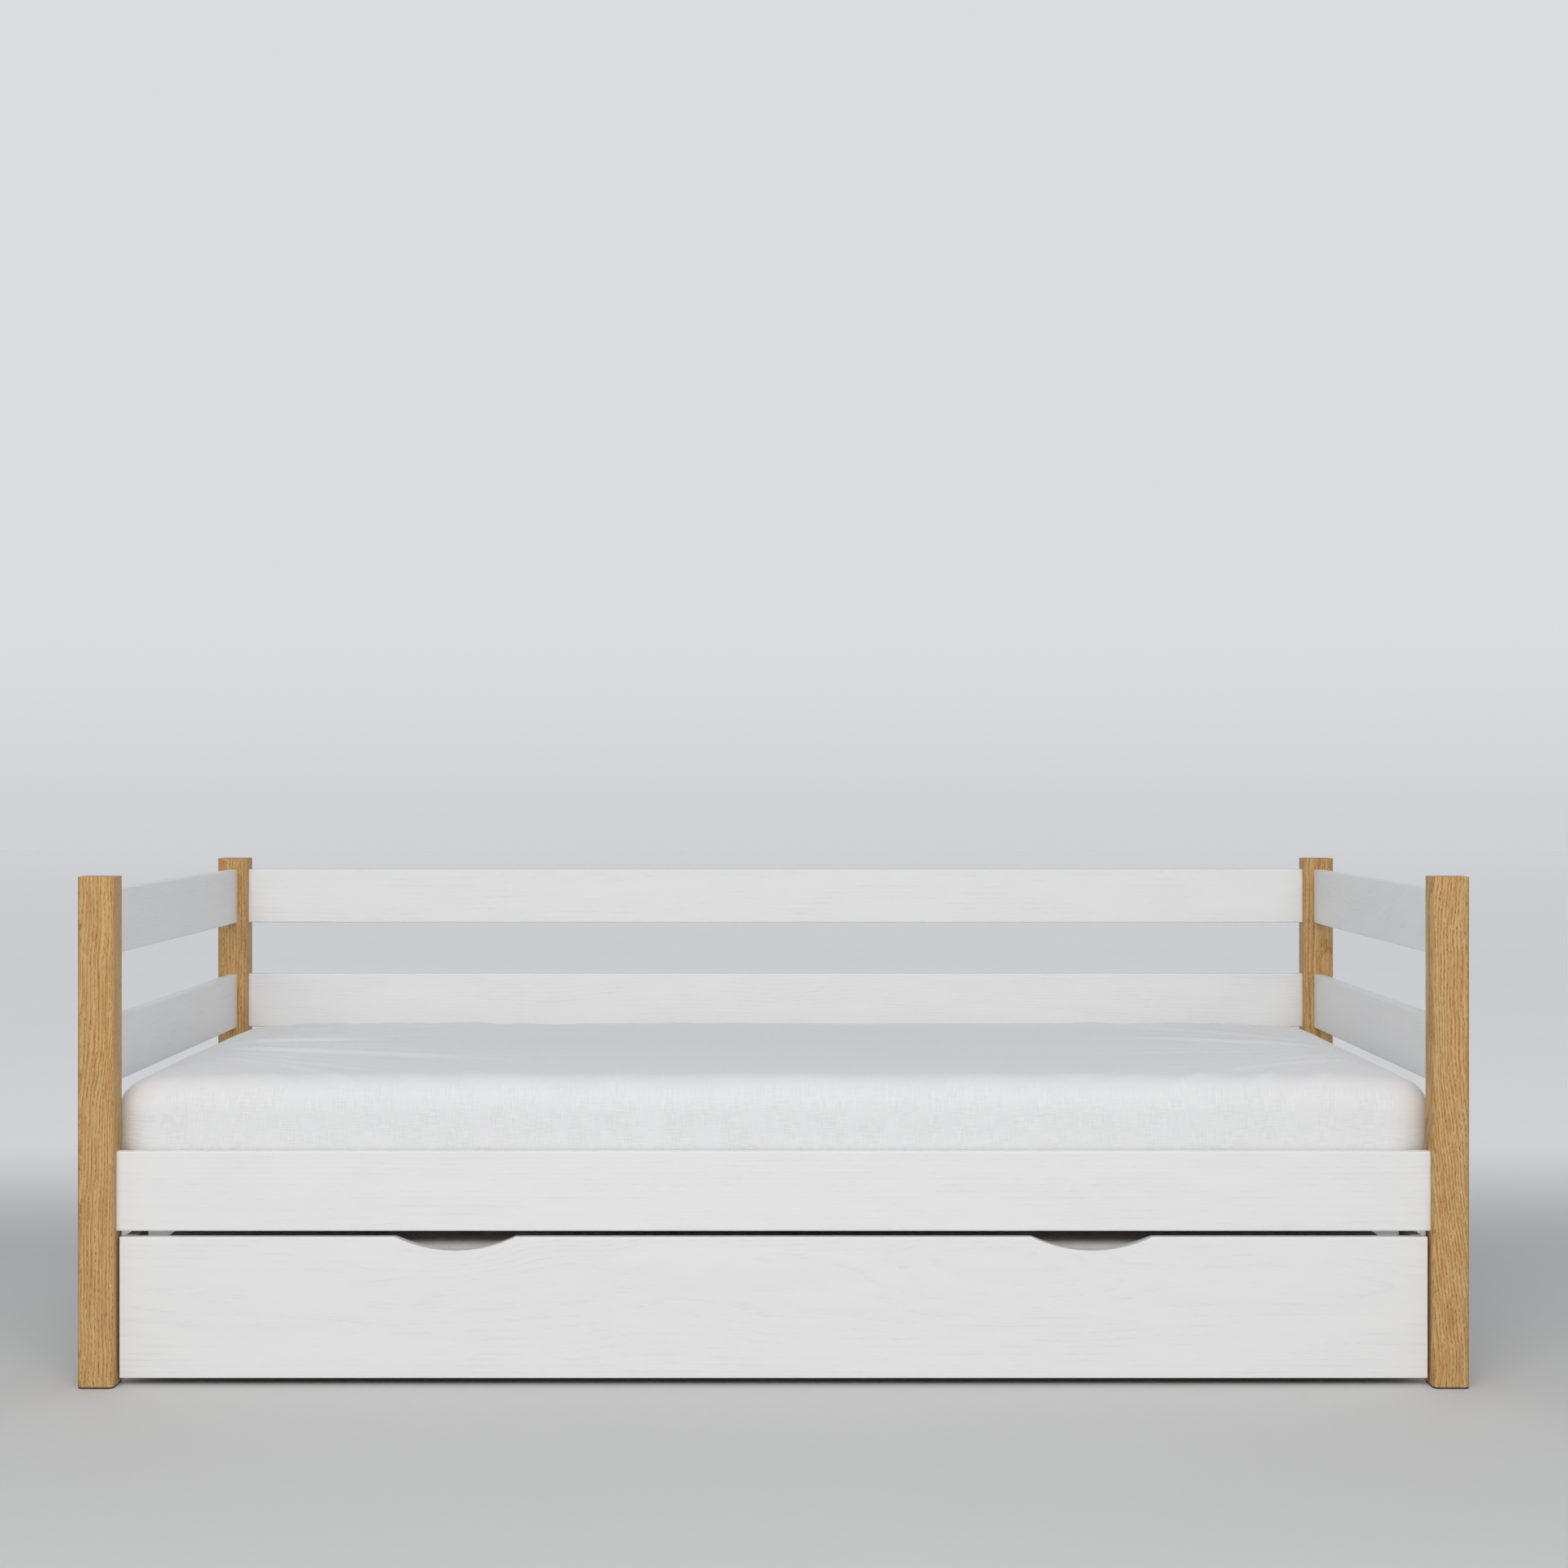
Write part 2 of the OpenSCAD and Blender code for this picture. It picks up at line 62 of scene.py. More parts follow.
OAK_LIGHT = (0.690, 0.448, 0.196, 1)
OAK_DARK = (0.468, 0.262, 0.094, 1)
OAK_WARM = (0.500, 0.238, 0.072, 1)
OAK_PORE = (0.290, 0.126, 0.038, 1)
PAINT_EVEN = (0.877, 0.874, 0.870, 1)
PAINT_GRAIN = (0.830, 0.828, 0.828, 1)
PINE_LIGHT = (0.80, 0.62, 0.38, 1)
PINE_DARK = (0.56, 0.335, 0.145, 1)
BEECH_LIGHT = (0.70, 0.47, 0.28, 1)
BEECH_DARK = (0.56, 0.34, 0.18, 1)
BEECH_FLECK = (0.36, 0.19, 0.09, 1)
ZINC_LIGHT = (0.70, 0.71, 0.70, 1)
ZINC_DARK = (0.56, 0.57, 0.585, 1)
GLIDE_LIGHT = (0.030, 0.030, 0.032, 1)
GLIDE_DARK = (0.012, 0.012, 0.013, 1)
WHEEL_LIGHT = (0.115, 0.115, 0.12, 1)
WHEEL_DARK = (0.06, 0.06, 0.064, 1)
FLOOR_LIGHT = (0.69, 0.69, 0.685, 1)
FLOOR_DARK = (0.66, 0.66, 0.655, 1)
ROOM_COLOR = (0.942, 0.965, 1.0)
LAMP_COLOR = (1.0, 0.993, 0.982)


# ---------------------------------------------------------------- studio

# Strength of the room's light, of the wall behind the bed, and of that wall at its foot
ROOM = 0.392
WALL = 0.74
WALL_FOOT = 0.665
# The z between which the foot passes into the wall, and the y between which the room does, both
# of a direction of length 1
FOOT_TO_WALL = (-0.03, 0.06)
ROOM_TO_WALL = (0.55, 0.92)
# Painted glow of the floor beyond the bed, light that it emits though it is no lamp, and what it
# gains further off, with the y between which each comes up
FLOOR_GLOW = 0.30
FLOOR_GLOW_NEAR = (0.55, 2.2)
FLOOR_GLOW_GAIN = 0.045
FLOOR_GLOW_FAR = (6.0, 30.0)
FLOOR_SIZE = 60
# Watts of the two lamps
KEY = 81
FILL = 60
# The camera looks level along y. Its lens and sensor are in millimetres
CAMERA_PLACE = (0.0158, -4.257, 0.9073)
LENS = 57.6
SENSOR_WIDTH = 36.0


# ---------------------------------------------------------------- node materials


class Shade:
    """A node material, with short calls that add a node and return its output socket."""

    def __init__(self, name):
        self.material = bpy.data.materials.new(name)
        self.material.use_nodes = True
        self.tree = self.material.node_tree
        self.shader = self.tree.nodes["Principled BSDF"]

    def put(self, socket, value):
        """Links an output socket to an input, or sets the input to a number or colour."""
        if isinstance(value, bpy.types.NodeSocket):
            self.tree.links.new(value, socket)
        else:
            socket.default_value = value

    def add(self, kind, inputs, out=0, **settings):
        """Adds a node with the given inputs and settings."""
        node = self.tree.nodes.new(kind)
        for key, value in settings.items():
            setattr(node, key, value)
        for key, value in inputs.items():
            self.put(node.inputs[key], value)
        return node.outputs[out]

    def axes(self, what="Object"):
        """The three numbers of the object's own coordinates, or of its normal."""
        split = self.tree.nodes.new("ShaderNodeSeparateXYZ")
        source = self.tree.nodes.new("ShaderNodeTexCoord")
        self.tree.links.new(source.outputs[what], split.inputs[0])
        return list(split.outputs)

    def point(self, x, y, z):
        return self.add("ShaderNodeCombineXYZ", {0: x, 1: y, 2: z})

    def scaled(self, vector, scale):
        return self.add("ShaderNodeVectorMath", {0: vector, 1: scale}, operation="MULTIPLY")

    def math(self, operation, a, b=0.0):
        return self.add("ShaderNodeMath", {0: a, 1: b}, operation=operation)

    def noise(self, vector, detail=2.0, roughness=0.5):
        inputs = {"Vector": vector, "Scale": 1.0, "Detail": detail, "Roughness": roughness}
        return self.add("ShaderNodeTexNoise", inputs)

    def cloud(self, per_metre, detail=2.0, roughness=0.5):
        """Noise that is the same in all directions, with so many features to the metre."""
        place = self.point(*[self.math("MULTIPLY", v, per_metre) for v in self.axes()])
        return self.noise(place, detail, roughness)

    def span(self, value, low, high, to_low=0.0, to_high=1.0, smooth=True):
        """Carries the range low to high over to another range, and holds its ends beyond it."""
        inputs = {
            "Value": value,
            "From Min": low,
            "From Max": high,
            "To Min": to_low,
            "To Max": to_high,
        }
        kind = "SMOOTHSTEP" if smooth else "LINEAR"
        return self.add("ShaderNodeMapRange", inputs, interpolation_type=kind)

    def total(self, *weighted):
        """Sum of (weight, value) pairs."""
        result = 0.0
        for weight, value in weighted:
            result = self.math("ADD", self.math("MULTIPLY", value, weight), result)
        return result

    def mix(self, share, a, b):
        """Colour a where share is 0, and colour b where it is 1."""
        node = self.tree.nodes.new("ShaderNodeMix")
        node.data_type = "RGBA"
        for socket, value in ((0, share), (6, a), (7, b)):
            self.put(node.inputs[socket], value)
        return node.outputs[2]

    def bump(self, height, depth):
        inputs = {"Height": height, "Distance": depth, "Strength": 1.0}
        return self.add("ShaderNodeBump", inputs, out="Normal")

    def finish(self, color, rough, normal, **fixed):
        """Connects the shader. Sockets named in fixed hold plain numbers."""
        self.put(self.shader.inputs["Base Color"], color)
        self.put(self.shader.inputs["Roughness"], rough)
        self.put(self.shader.inputs["Normal"], normal)
        for key, value in fixed.items():
            self.shader.inputs[key.replace("_", " ")].default_value = value
        return self.material


# For each direction of the grain: the two axes across it, then the axis along it
GRAIN_ORDER = {"x": (1, 2, 0), "y": (0, 2, 1), "z": (0, 1, 2)}
# Metres between the places in the log that boards with neighbouring seeds are cut from
LOG_STEP = 7.31
# Turn of the pith round the board from one seed to the next, in radians
PITH_TURN = 2.4


class Grain(Shade):
    """Wood cut from a log that runs along one axis. Rings and fibres share the log's bends.

    ring is the width of a year ring, and pith the distance from the board's middle to the pith.
    """

    def __init__(self, name, node, along, seed, ring, pith):
        super().__init__(name)
        low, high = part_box(node)
        across, over, length = GRAIN_ORDER[along]
        own = self.axes()
        a = self.math("SUBTRACT", own[across], (low[across] + high[across]) / 2)
        b = self.math("SUBTRACT", own[over], (low[over] + high[over]) / 2)
        self.g = self.math("ADD", own[length], LOG_STEP * seed)
        sway = self.swing(a, b, 5.0, 1.3)
        bend = self.swing(a, b, 9.0, 5.0)
        ripple = self.swing(a, b, 30.0, 7.0)
        wander = self.total((100 * MM, sway), (18 * MM, bend), (2.8 * MM, ripple))
        self.p = self.math("ADD", a, wander)
        self.q = self.math("ADD", b, wander)
        turn = PITH_TURN * seed
        da = self.math("SUBTRACT", self.p, pith * math.cos(turn))
        db = self.math("SUBTRACT", self.q, pith * math.sin(turn))
        square = self.math("ADD", self.math("MULTIPLY", da, da), self.math("MULTIPLY", db, db))
        self.ring = self.math("FRACT", self.math("DIVIDE", self.math("SQRT", square), ring))

    def swing(self, a, b, across, along):
        """Slow noise around zero, with so many features to the metre across and along the grain."""
        place = self.scaled(self.point(a, b, self.g), (across, across, along))
        return self.math("SUBTRACT", self.noise(place), 0.5)

    def streaks(self, width, length, detail=3.0, roughness=0.6):
        """Noise drawn out along the grain, with features of the given width and length."""
        spread = (1.0 / width, 1.0 / width, 1.0 / length)
        return self.noise(self.scaled(self.point(self.p, self.q, self.g), spread), detail, roughness)

    def late(self, start=0.25, top=0.86):
        """1 in the dense late wood at the end of each ring, with a sharp edge on its outer side."""
        rise = self.span(self.ring, start, top)
        fall = self.span(self.ring, 0.93, 1.0, 1.0, 0.0)
        return self.math("MULTIPLY", rise, fall)


def oak(name, node, seed):
    """Oiled oak: pale and dark strands, warm streaks, and short dark pores in the early wood."""
    s = Grain(name, node, "z", seed, ring=4.0 * MM, pith=95 * MM)
    late = s.late()
    strand = s.streaks(1.4 * MM, 80 * MM)
    fibre = s.streaks(0.6 * MM, 26 * MM)
    wide = s.streaks(9 * MM, 300 * MM, 2.0)
    tone = s.total((-0.25, late), (1.35, strand), (0.45, fibre), (0.55, wide))
    color = s.mix(s.span(tone, 0.82, 1.42), OAK_LIGHT, OAK_DARK)
    warm = s.span(s.streaks(3.5 * MM, 120 * MM, 2.0), 0.48, 0.66, 0.0, 0.62)
    color = s.mix(warm, color, OAK_WARM)
    rows = s.span(s.ring, 0.05, 0.60, 1.0, 0.22)
    dashes = s.span(s.streaks(0.95 * MM, 7 * MM, 1.5), 0.50, 0.61)
    pore = s.math("MULTIPLY", dashes, rows)
    color = s.mix(s.math("MULTIPLY", pore, 0.92), color, OAK_PORE)
    height = s.total((-1.0, pore), (0.25, fibre), (0.2, late))
    rough = s.span(fibre, 0.3, 0.7, 0.46, 0.60, smooth=False)
    return s.finish(color, rough, s.bump(height, 0.10 * MM), Specular_IOR_Level=0.25)


def paint(name, node, along, seed):
    """White paint thin enough for the grain of the board to show as a shallow relief."""
    s = Grain(name, node, along, seed, ring=6.6 * MM, pith=150 * MM)
    line = s.late(0.45, 0.90)
    broken = s.span(s.streaks(5 * MM, 38 * MM, 2.0), 0.36, 0.66)
    patch = s.span(s.streaks(40 * MM, 170 * MM, 2.0), 0.36, 0.60, 0.30, 1.0)
    fibre = s.streaks(1.6 * MM, 42 * MM, 2.0)
    cloud = s.streaks(45 * MM, 260 * MM, 2.0)
    grain = s.total((0.85, s.math("MULTIPLY", line, broken)), (0.75, fibre))
    grain = s.math("MULTIPLY", grain, patch)
    shade = s.span(s.total((0.72, grain), (0.20, cloud)), 0.1, 0.9, smooth=False)
    color = s.mix(shade, PAINT_EVEN, PAINT_GRAIN)
    rough = s.span(fibre, 0.3, 0.7, 0.38, 0.50, smooth=False)
    return s.finish(color, rough, s.bump(grain, 0.16 * MM), Specular_IOR_Level=0.45)


def pine(name, node, along, seed):
    """Bare planed pine with plain year rings, for the slats, ledgers and bearers."""
    s = Grain(name, node, along, seed, ring=3.6 * MM, pith=60 * MM)
    late = s.late()
    strand = s.streaks(2.2 * MM, 150 * MM)
    fibre = s.streaks(0.6 * MM, 40 * MM)
    tone = s.total((0.75, late), (0.35, strand), (0.25, fibre))
    color = s.mix(s.span(tone, 0.25, 1.25), PINE_LIGHT, PINE_DARK)
    height = s.total((0.5, late), (0.4, fibre))
    rough = s.span(fibre, 0.3, 0.7, 0.58, 0.72, smooth=False)
    return s.finish(color, rough, s.bump(height, 0.15 * MM), Specular_IOR_Level=0.3)


def beech(name, node, seed):
    """Beech dowels, with the wood's short dark flecks."""
    s = Grain(name, node, "y", seed, ring=1.5 * MM, pith=30 * MM)
    fleck = s.span(s.streaks(0.5 * MM, 2.2 * MM, 1.0), 0.58, 0.66)
    tone = s.total((0.5, s.ring), (0.5, s.streaks(0.6 * MM, 12 * MM)))
    color = s.mix(tone, BEECH_LIGHT, BEECH_DARK)
    color = s.mix(s.math("MULTIPLY", fleck, 0.5), color, BEECH_FLECK)
    return s.finish(color, 0.62, s.bump(fleck, 0.05 * MM), Specular_IOR_Level=0.3)


def weave(s, pitch, slub, level):
    """Height of a plain weave that follows the threads on every side of a box-like piece.

    pitch is the width of a group of threads and slub the length of its thick places. Each of the
    three families of threads fades out on the faces that it would cross head on. level is how
    much of the relief is left on a level face, where the cloth lies pressed flat.
    """
    own = s.axes()
    facing = s.axes("Normal")
    drift = s.math("MULTIPLY", s.cloud(9.0), 4.0 * MM)
    strong = s.span(s.cloud(24.0), 0.36, 0.62, 0.35, 1.0)
    slub_rate = 1.9 / pitch
    thread_rate = FULL_TURN / (0.31 * pitch)
    families = []
    for i in range(3):
        place = s.math("ADD", own[i], drift)
        along = [s.math("MULTIPLY", own[j], 1.0 / slub) for j in range(3) if j != i]
        slubs = s.noise(s.point(s.math("MULTIPLY", place, slub_rate), *along), 1.0, 0.4)
        slubs = s.span(slubs, 0.32, 0.68, 0.22, 0.78)
        fine = s.math("SINE", s.math("MULTIPLY", place, thread_rate))
        thread = s.total((1.0, s.math("SUBTRACT", slubs, 0.5)), (0.02, fine))
        side = s.math("SUBTRACT", 1.0, s.math("ABSOLUTE", facing[i]))
        families.append((1.0, s.math("MULTIPLY", thread, side)))
    flat = s.span(s.math("ABSOLUTE", facing[2]), 0.35, 0.97, 1.0, level)
    return s.math("MULTIPLY", s.total(*families), s.math("MULTIPLY", strong, flat))


def cloth(name, light, hollow_shade, pitch, slub, depth, level=1.0):
    """Woven cloth with a relief of the given depth. Its colour is lighter on the raised threads and
    darker in the hollows between them, which is painted shade of the weave's relief, under slow random
    clouds of tone.
    """
    s = Shade(name)
    height = weave(s, pitch, slub, level)
    # Colour follows the weave's height, so the hollows between the threads take the darker colour:
    # painted shade of the relief
    tone = s.span(s.total((0.9, height), (0.24, s.cloud(6.0))), -0.28, 0.50)
    fuzz = s.span(height, -0.4, 0.4, 0.92, 0.80, smooth=False)
    fixed = {"Sheen_Weight": 0.22, "Sheen_Roughness": 0.5, "Specular_IOR_Level": 0.15}
    return s.finish(s.mix(tone, hollow_shade, light), fuzz, s.bump(height, depth), **fixed)


def steel(name):
    """Zinc plating: bright steel with a fine grain and faint clouds."""
    s = Shade(name)
    fine = s.cloud(900.0, 3.0)
    wide = s.cloud(160.0)
    color = s.mix(wide, ZINC_LIGHT, ZINC_DARK)
    rough = s.span(s.total((0.5, fine), (0.5, wide)), 0.3, 0.7, 0.24, 0.42, smooth=False)
    return s.finish(color, rough, s.bump(fine, 0.03 * MM), Metallic=1.0)


def plastic(name, light, dark, rough_low, rough_high):
    """Moulded plastic with a fine grain and scuffs."""
    s = Shade(name)
    grain = s.cloud(1400.0)
    scuff = s.cloud(120.0, 4.0, 0.7)
    color = s.mix(s.span(scuff, 0.35, 0.7), dark, light)
    rough = s.span(scuff, 0.3, 0.7, rough_low, rough_high, smooth=False)
    return s.finish(color, rough, s.bump(grain, 0.06 * MM), Specular_IOR_Level=0.4)


def floor_coat(name):
    """Plain pale studio floor that glows softly beyond the bed: a painted glow like a lit sweep's
    foot.
    """
    s = Shade(name)
    grit = s.cloud(260.0)
    color = s.mix(s.cloud(1.4, 3.0), FLOOR_DARK, FLOOR_LIGHT)
    back = s.axes()[1]
    near = s.span(back, *FLOOR_GLOW_NEAR, 0.0, FLOOR_GLOW)
    far = s.span(back, *FLOOR_GLOW_FAR, 0.0, FLOOR_GLOW_GAIN, smooth=False)
    # Painted glow: the floor emits light beyond the bed, though it is no lamp
    s.shader.inputs["Emission Color"].default_value = (*ROOM_COLOR, 1)
    s.put(s.shader.inputs["Emission Strength"], s.math("ADD", near, far))
    return s.finish(color, 0.7, s.bump(grit, 0.1 * MM), Specular_IOR_Level=0.2)


# ---------------------------------------------------------------- CAD nodes that keep their shape


def dress(node, material):
    """Gives a CAD node its finished material."""
    slots = frame["nodes"][node].data.materials
    slots.clear()
    slots.append(material)


def longest_axis(node):
    low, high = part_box(node)
    size = [high[i] - low[i] for i in range(3)]
    return "xyz"[size.index(max(size))]


def nodes_of(slot):
    return [part["node"] for part in frame["record"]["subparts"] if part["material_slot"] == slot]


def dress_wood():
    """One log for each node, so that no two boards show the same grain."""
    for number, node in enumerate(nodes_of("oak")):
        dress(node, oak(f"oak_{number + 1}", node, number + 1.7))
    for number, node in enumerate(nodes_of("white_paint")):
        dress(node, paint(f"paint_{node}", node, longest_axis(node), number + 2.3))
    for number, node in enumerate(nodes_of("pine")):
        # The drawer slats are one node that is longer across its slats than along them
        along = "y" if node == "drawer_slats" else longest_axis(node)
        dress(node, pine(f"pine_{node}", node, along, number + 0.6))
    for number, node in enumerate(nodes_of("beech")):
        dress(node, beech(f"beech_{number + 1}", node, number + 3.1))


def dress_the_rest():
    """Steel, plastics and the tapes between the slats, one material for each."""
    tape = cloth(
        "webbing",
        light=(0.74, 0.71, 0.63, 1),
        hollow_shade=(0.58, 0.55, 0.47, 1),
        pitch=1.6 * MM,
        slub=12 * MM,
        depth=0.3 * MM,
    )
    finishes = {
        "zinc_steel": steel("zinc_steel"),
        "glide_plastic": plastic("glide_plastic", GLIDE_LIGHT, GLIDE_DARK, 0.5, 0.7),
        "wheel_nylon": plastic("wheel_nylon", WHEEL_LIGHT, WHEEL_DARK, 0.38, 0.6),
        "webbing": tape,
    }
    for slot, material in finishes.items():
        for node in nodes_of(slot):
            dress(node, material)


dress_wood()
dress_the_rest()


# ---------------------------------------------------------------- slabs with round edges


def side_points(count, half, corner):
    """Points of one side of a rounded rectangle, evenly spaced along it.

    They run from the middle of one corner's arc to the middle of the next. Each is (place along
    the side, distance short of the side's line, angle of the outward normal from straight out).
    """
    arc = corner * math.pi / 4
    straight = 2 * (half - corner)
    run = np.linspace(-arc - straight / 2, arc + straight / 2, count + 1)
    over = np.clip(np.abs(run) - straight / 2, 0, None)
    angle = np.sign(run) * over / corner
    along = np.clip(run, -straight / 2, straight / 2) + corner * np.sin(angle)
    short = corner * (1 - np.cos(angle))
    return along, short, angle


def rounded_outline(half_x, half_y, corner, count_x, count_y):
    """Front, right, back and left sides as arrays of (x, y, normal x, normal y)."""
    ax, sx, tx = side_points(count_x, half_x, corner)
    ay, sy, ty = side_points(count_y, half_y, corner)
    front = np.stack([ax, -half_y + sx, np.sin(tx), -np.cos(tx)], 1)
    back = np.stack([ax, half_y - sx, np.sin(tx), np.cos(tx)], 1)
    left = np.stack([-half_x + sy, ay, -np.cos(ty), np.sin(ty)], 1)
    right = np.stack([half_x - sy, ay, np.cos(ty), np.sin(ty)], 1)
    return front, right, back, left


def filled(front, right, back, left):
    """Grid of points inside an outline, indexed [x step, y step], as a Coons patch."""
    u = np.linspace(0, 1, len(front))[:, None, None]
    v = np.linspace(0, 1, len(left))[None, :, None]
    f, b = front[:, None, :2], back[:, None, :2]
    le, r = left[None, :, :2], right[None, :, :2]
    ruled = (1 - v) * f + v * b + (1 - u) * le + u * r
    corners = (
        (1 - u) * (1 - v) * f[0]
        + u * (1 - v) * f[-1]
        + (1 - u) * v * b[0]
        + u * v * b[-1]
    )
    return ruled - corners


def border(shape):
    """Indices (i, j) of the points round the edge of a grid, in the order of a slab's loop."""
    n, m = shape[0] - 1, shape[1] - 1
    i = np.concatenate([np.arange(n), np.full(m, n), np.arange(n, 0, -1), np.zeros(m, int)])
    j = np.concatenate([np.zeros(n, int), np.arange(m), np.full(n, m), np.arange(m, 0, -1)])
    return i, j


class Slab:
    """A slab with round edges, made of even quads about step wide.

    points, normals and faces describe it. corner is the radius of its upright edges and edge that
    of the top and bottom ones. ring(k) gives the k-th line of points round its side, counted from
    the top, and corners are the places of the four upright edges in such a line. hem leaves only
    a strip of that width of the underside.
    """

    def __init__(self, half_x, half_y, low, high, corner, edge, step, hem=None):
        self.half, self.low, self.high = (half_x, half_y), low, high
        steps_x, steps_y = round(2 * half_x / step), round(2 * half_y / step)
        sides = rounded_outline(half_x - edge, half_y - edge, corner - edge, steps_x, steps_y)
        front, right, back, left = sides
        self.loop = np.concatenate([front[:-1], right[:-1], back[:0:-1], left[:0:-1]])
        self.corners = (0, steps_x, steps_x + steps_y, 2 * steps_x + steps_y)
        self.grid = filled(*sides)
        shape = self.grid.shape[:2]
        ids = np.arange(shape[0] * shape[1]).reshape(shape)
        self.first_ring = ids.size
        self.points, self.normals, self.faces = [], [], []
        self.flat_part(self.grid.reshape(-1, 2), high, 1.0, ids)

        self.bend_steps = max(4, round(edge * math.pi / 2 / step))
        wall_steps = max(2, round((high - low - 2 * edge) / step))
        bend = np.linspace(0, math.pi / 2, self.bend_steps + 1)[1:]
        wall = np.linspace(high - edge, low + edge, wall_steps + 1)[1:]
        rings = [(edge * math.sin(t), high - edge + edge * math.cos(t), t) for t in bend]
        rings += [(edge, z, math.pi / 2) for z in wall]
        rings += [(edge * math.cos(t), low + edge - edge * math.sin(t), math.pi / 2 + t) for t in bend]
        self.ring_count = len(rings)
        before = ids[border(shape)]
        for k, (out, z, turn) in enumerate(rings):
            here = np.full(len(self.loop), z)
            tilt = np.full(len(self.loop), math.cos(turn))
            now = self.first_ring + k * len(self.loop) + np.arange(len(self.loop))
            self.points.append(np.column_stack([self.loop[:, :2] + out * self.loop[:, 2:], here]))
            self.normals.append(np.column_stack([math.sin(turn) * self.loop[:, 2:], tilt]))
            self.faces.append(np.stack([before, now, np.roll(now, -1), np.roll(before, -1)], 1))
            before = now

        inside = np.zeros(shape, bool)
        inside[1:-1, 1:-1] = True
        if hem is not None:
            cells = round(hem / step)
            inside[cells:-cells, cells:-cells] = False
            self.hem_line = self.grid[cells - 1 : 1 - cells, cells - 1 : 1 - cells]
        under = np.full(shape, -1)
        under[inside] = self.first_ring + len(rings) * len(self.loop) + np.arange(inside.sum())
        under[border(shape)] = before
        self.flat_part(self.grid[inside], low, -1.0, under)
        self.points = np.concatenate(self.points)
        self.normals = np.concatenate(self.normals)
        self.faces = np.concatenate(self.faces)

    def flat_part(self, places, z, facing, ids):
        """Adds the top or the underside; ids numbers its grid, with -1 where there is no point."""
        count = len(places)
        self.points.append(np.column_stack([places, np.full(count, z)]))
        self.normals.append(np.tile([0.0, 0.0, facing], (count, 1)))
        corners = [ids[:-1, :-1], ids[1:, :-1], ids[1:, 1:], ids[:-1, 1:]]
        quads = np.stack(corners if facing > 0 else corners[::-1], -1).reshape(-1, 4)
        self.faces.append(quads[(quads >= 0).all(1)])

    def ring_slice(self, k):
        start = self.first_ring + k * len(self.loop)
        return slice(start, start + len(self.loop))

    def ring(self, k):
        return self.points[self.ring_slice(k)]

    def ring_normals(self, k):
        return self.normals[self.ring_slice(k)]

    def build(self, name, material):
        return build_mesh(name, self.points.tolist(), self.faces.tolist(), material)


def build_mesh(name, points, faces, material):
    """Smooth mesh object with one material."""
    mesh = bpy.data.meshes.new(name)
    mesh.from_pydata(points, [], faces)
    mesh.update()
    mesh.shade_smooth()
    piece = bpy.data.objects.new(name, mesh)
    bpy.context.scene.collection.objects.link(piece)
    piece.data.materials.append(material)
    return piece


TUBE_SIDES = 8
# Share of the upright direction above which a path counts as upright
UPRIGHT = 0.9


def tube(name, path, radius, closed, material):
    """Round tube of cloth along a path, an (n, 3) array of points."""
    path = np.asarray(path)
    if closed:
        ahead, behind = np.roll(path, -1, 0), np.roll(path, 1, 0)
    else:
        ahead = np.concatenate([path[1:], path[-1:]])
        behind = np.concatenate([path[:1], path[:-1]])
    run = ahead - behind
    run /= np.linalg.norm(run, axis=1)[:, None]
    helper = np.where(np.abs(run[:, 2:]) > UPRIGHT, [[1.0, 0.0, 0.0]], [[0.0, 0.0, 1.0]])
    out = np.cross(run, helper)
    out /= np.linalg.norm(out, axis=1)[:, None]
    up = np.cross(out, run)
    turn = np.arange(TUBE_SIDES) * FULL_TURN / TUBE_SIDES
    rings = path[:, None] + radius * (
        np.cos(turn)[None, :, None] * out[:, None] + np.sin(turn)[None, :, None] * up[:, None]
    )
    ids = np.arange(len(path) * TUBE_SIDES).reshape(len(path), TUBE_SIDES)
    nxt = np.roll(ids, -1, 0)
    rows = slice(None) if closed else slice(None, -1)
    quads = np.stack([ids, np.roll(ids, -1, 1), np.roll(nxt, -1, 1), nxt], -1)[rows].reshape(-1, 4)
    faces = quads.tolist()
    if not closed:
        faces += [ids[0, ::-1].tolist(), ids[-1].tolist()]
    return build_mesh(name, rings.reshape(-1, 3).tolist(), faces, material)


# ---------------------------------------------------------------- shapes of the soft pieces


def ease(value, low, high):
    """0 below low, 1 above high, smooth between."""
    t = np.clip((value - low) / (high - low), 0, 1)
    return t * t * (3 - 2 * t)


class Waves:
    """Smooth repeatable noise in two variables, as a sum of sines that run mostly along the first."""

    def __init__(self, count=9, spread=0.9):
        self.turn = rng.uniform(-spread, spread, count)
        self.phase = rng.uniform(0, FULL_TURN, count)
        self.rate = rng.uniform(0.6, 1.7, count)

    def __call__(self, u, v=0.0):
        total = 0.0
        for turn, phase, rate in zip(self.turn, self.phase, self.rate):
            total = total + np.sin(rate * (np.cos(turn) * u + np.sin(turn) * v) + phase)
        return total / math.sqrt(len(self.turn))


# Centre of a fan of folds: how far it lies beyond the short end, and off the middle of that end
FAN_BEYOND = 108 * MM
FAN_ASIDE = 40 * MM
# Distances from that centre between which the folds come up
FAN_START = (120 * MM, 240 * MM)
# Distance from it where they begin to fade, and where they end, on average and give or take
FAN_FADE = 300 * MM
FAN_END = 820 * MM
FAN_END_SPREAD = 260 * MM


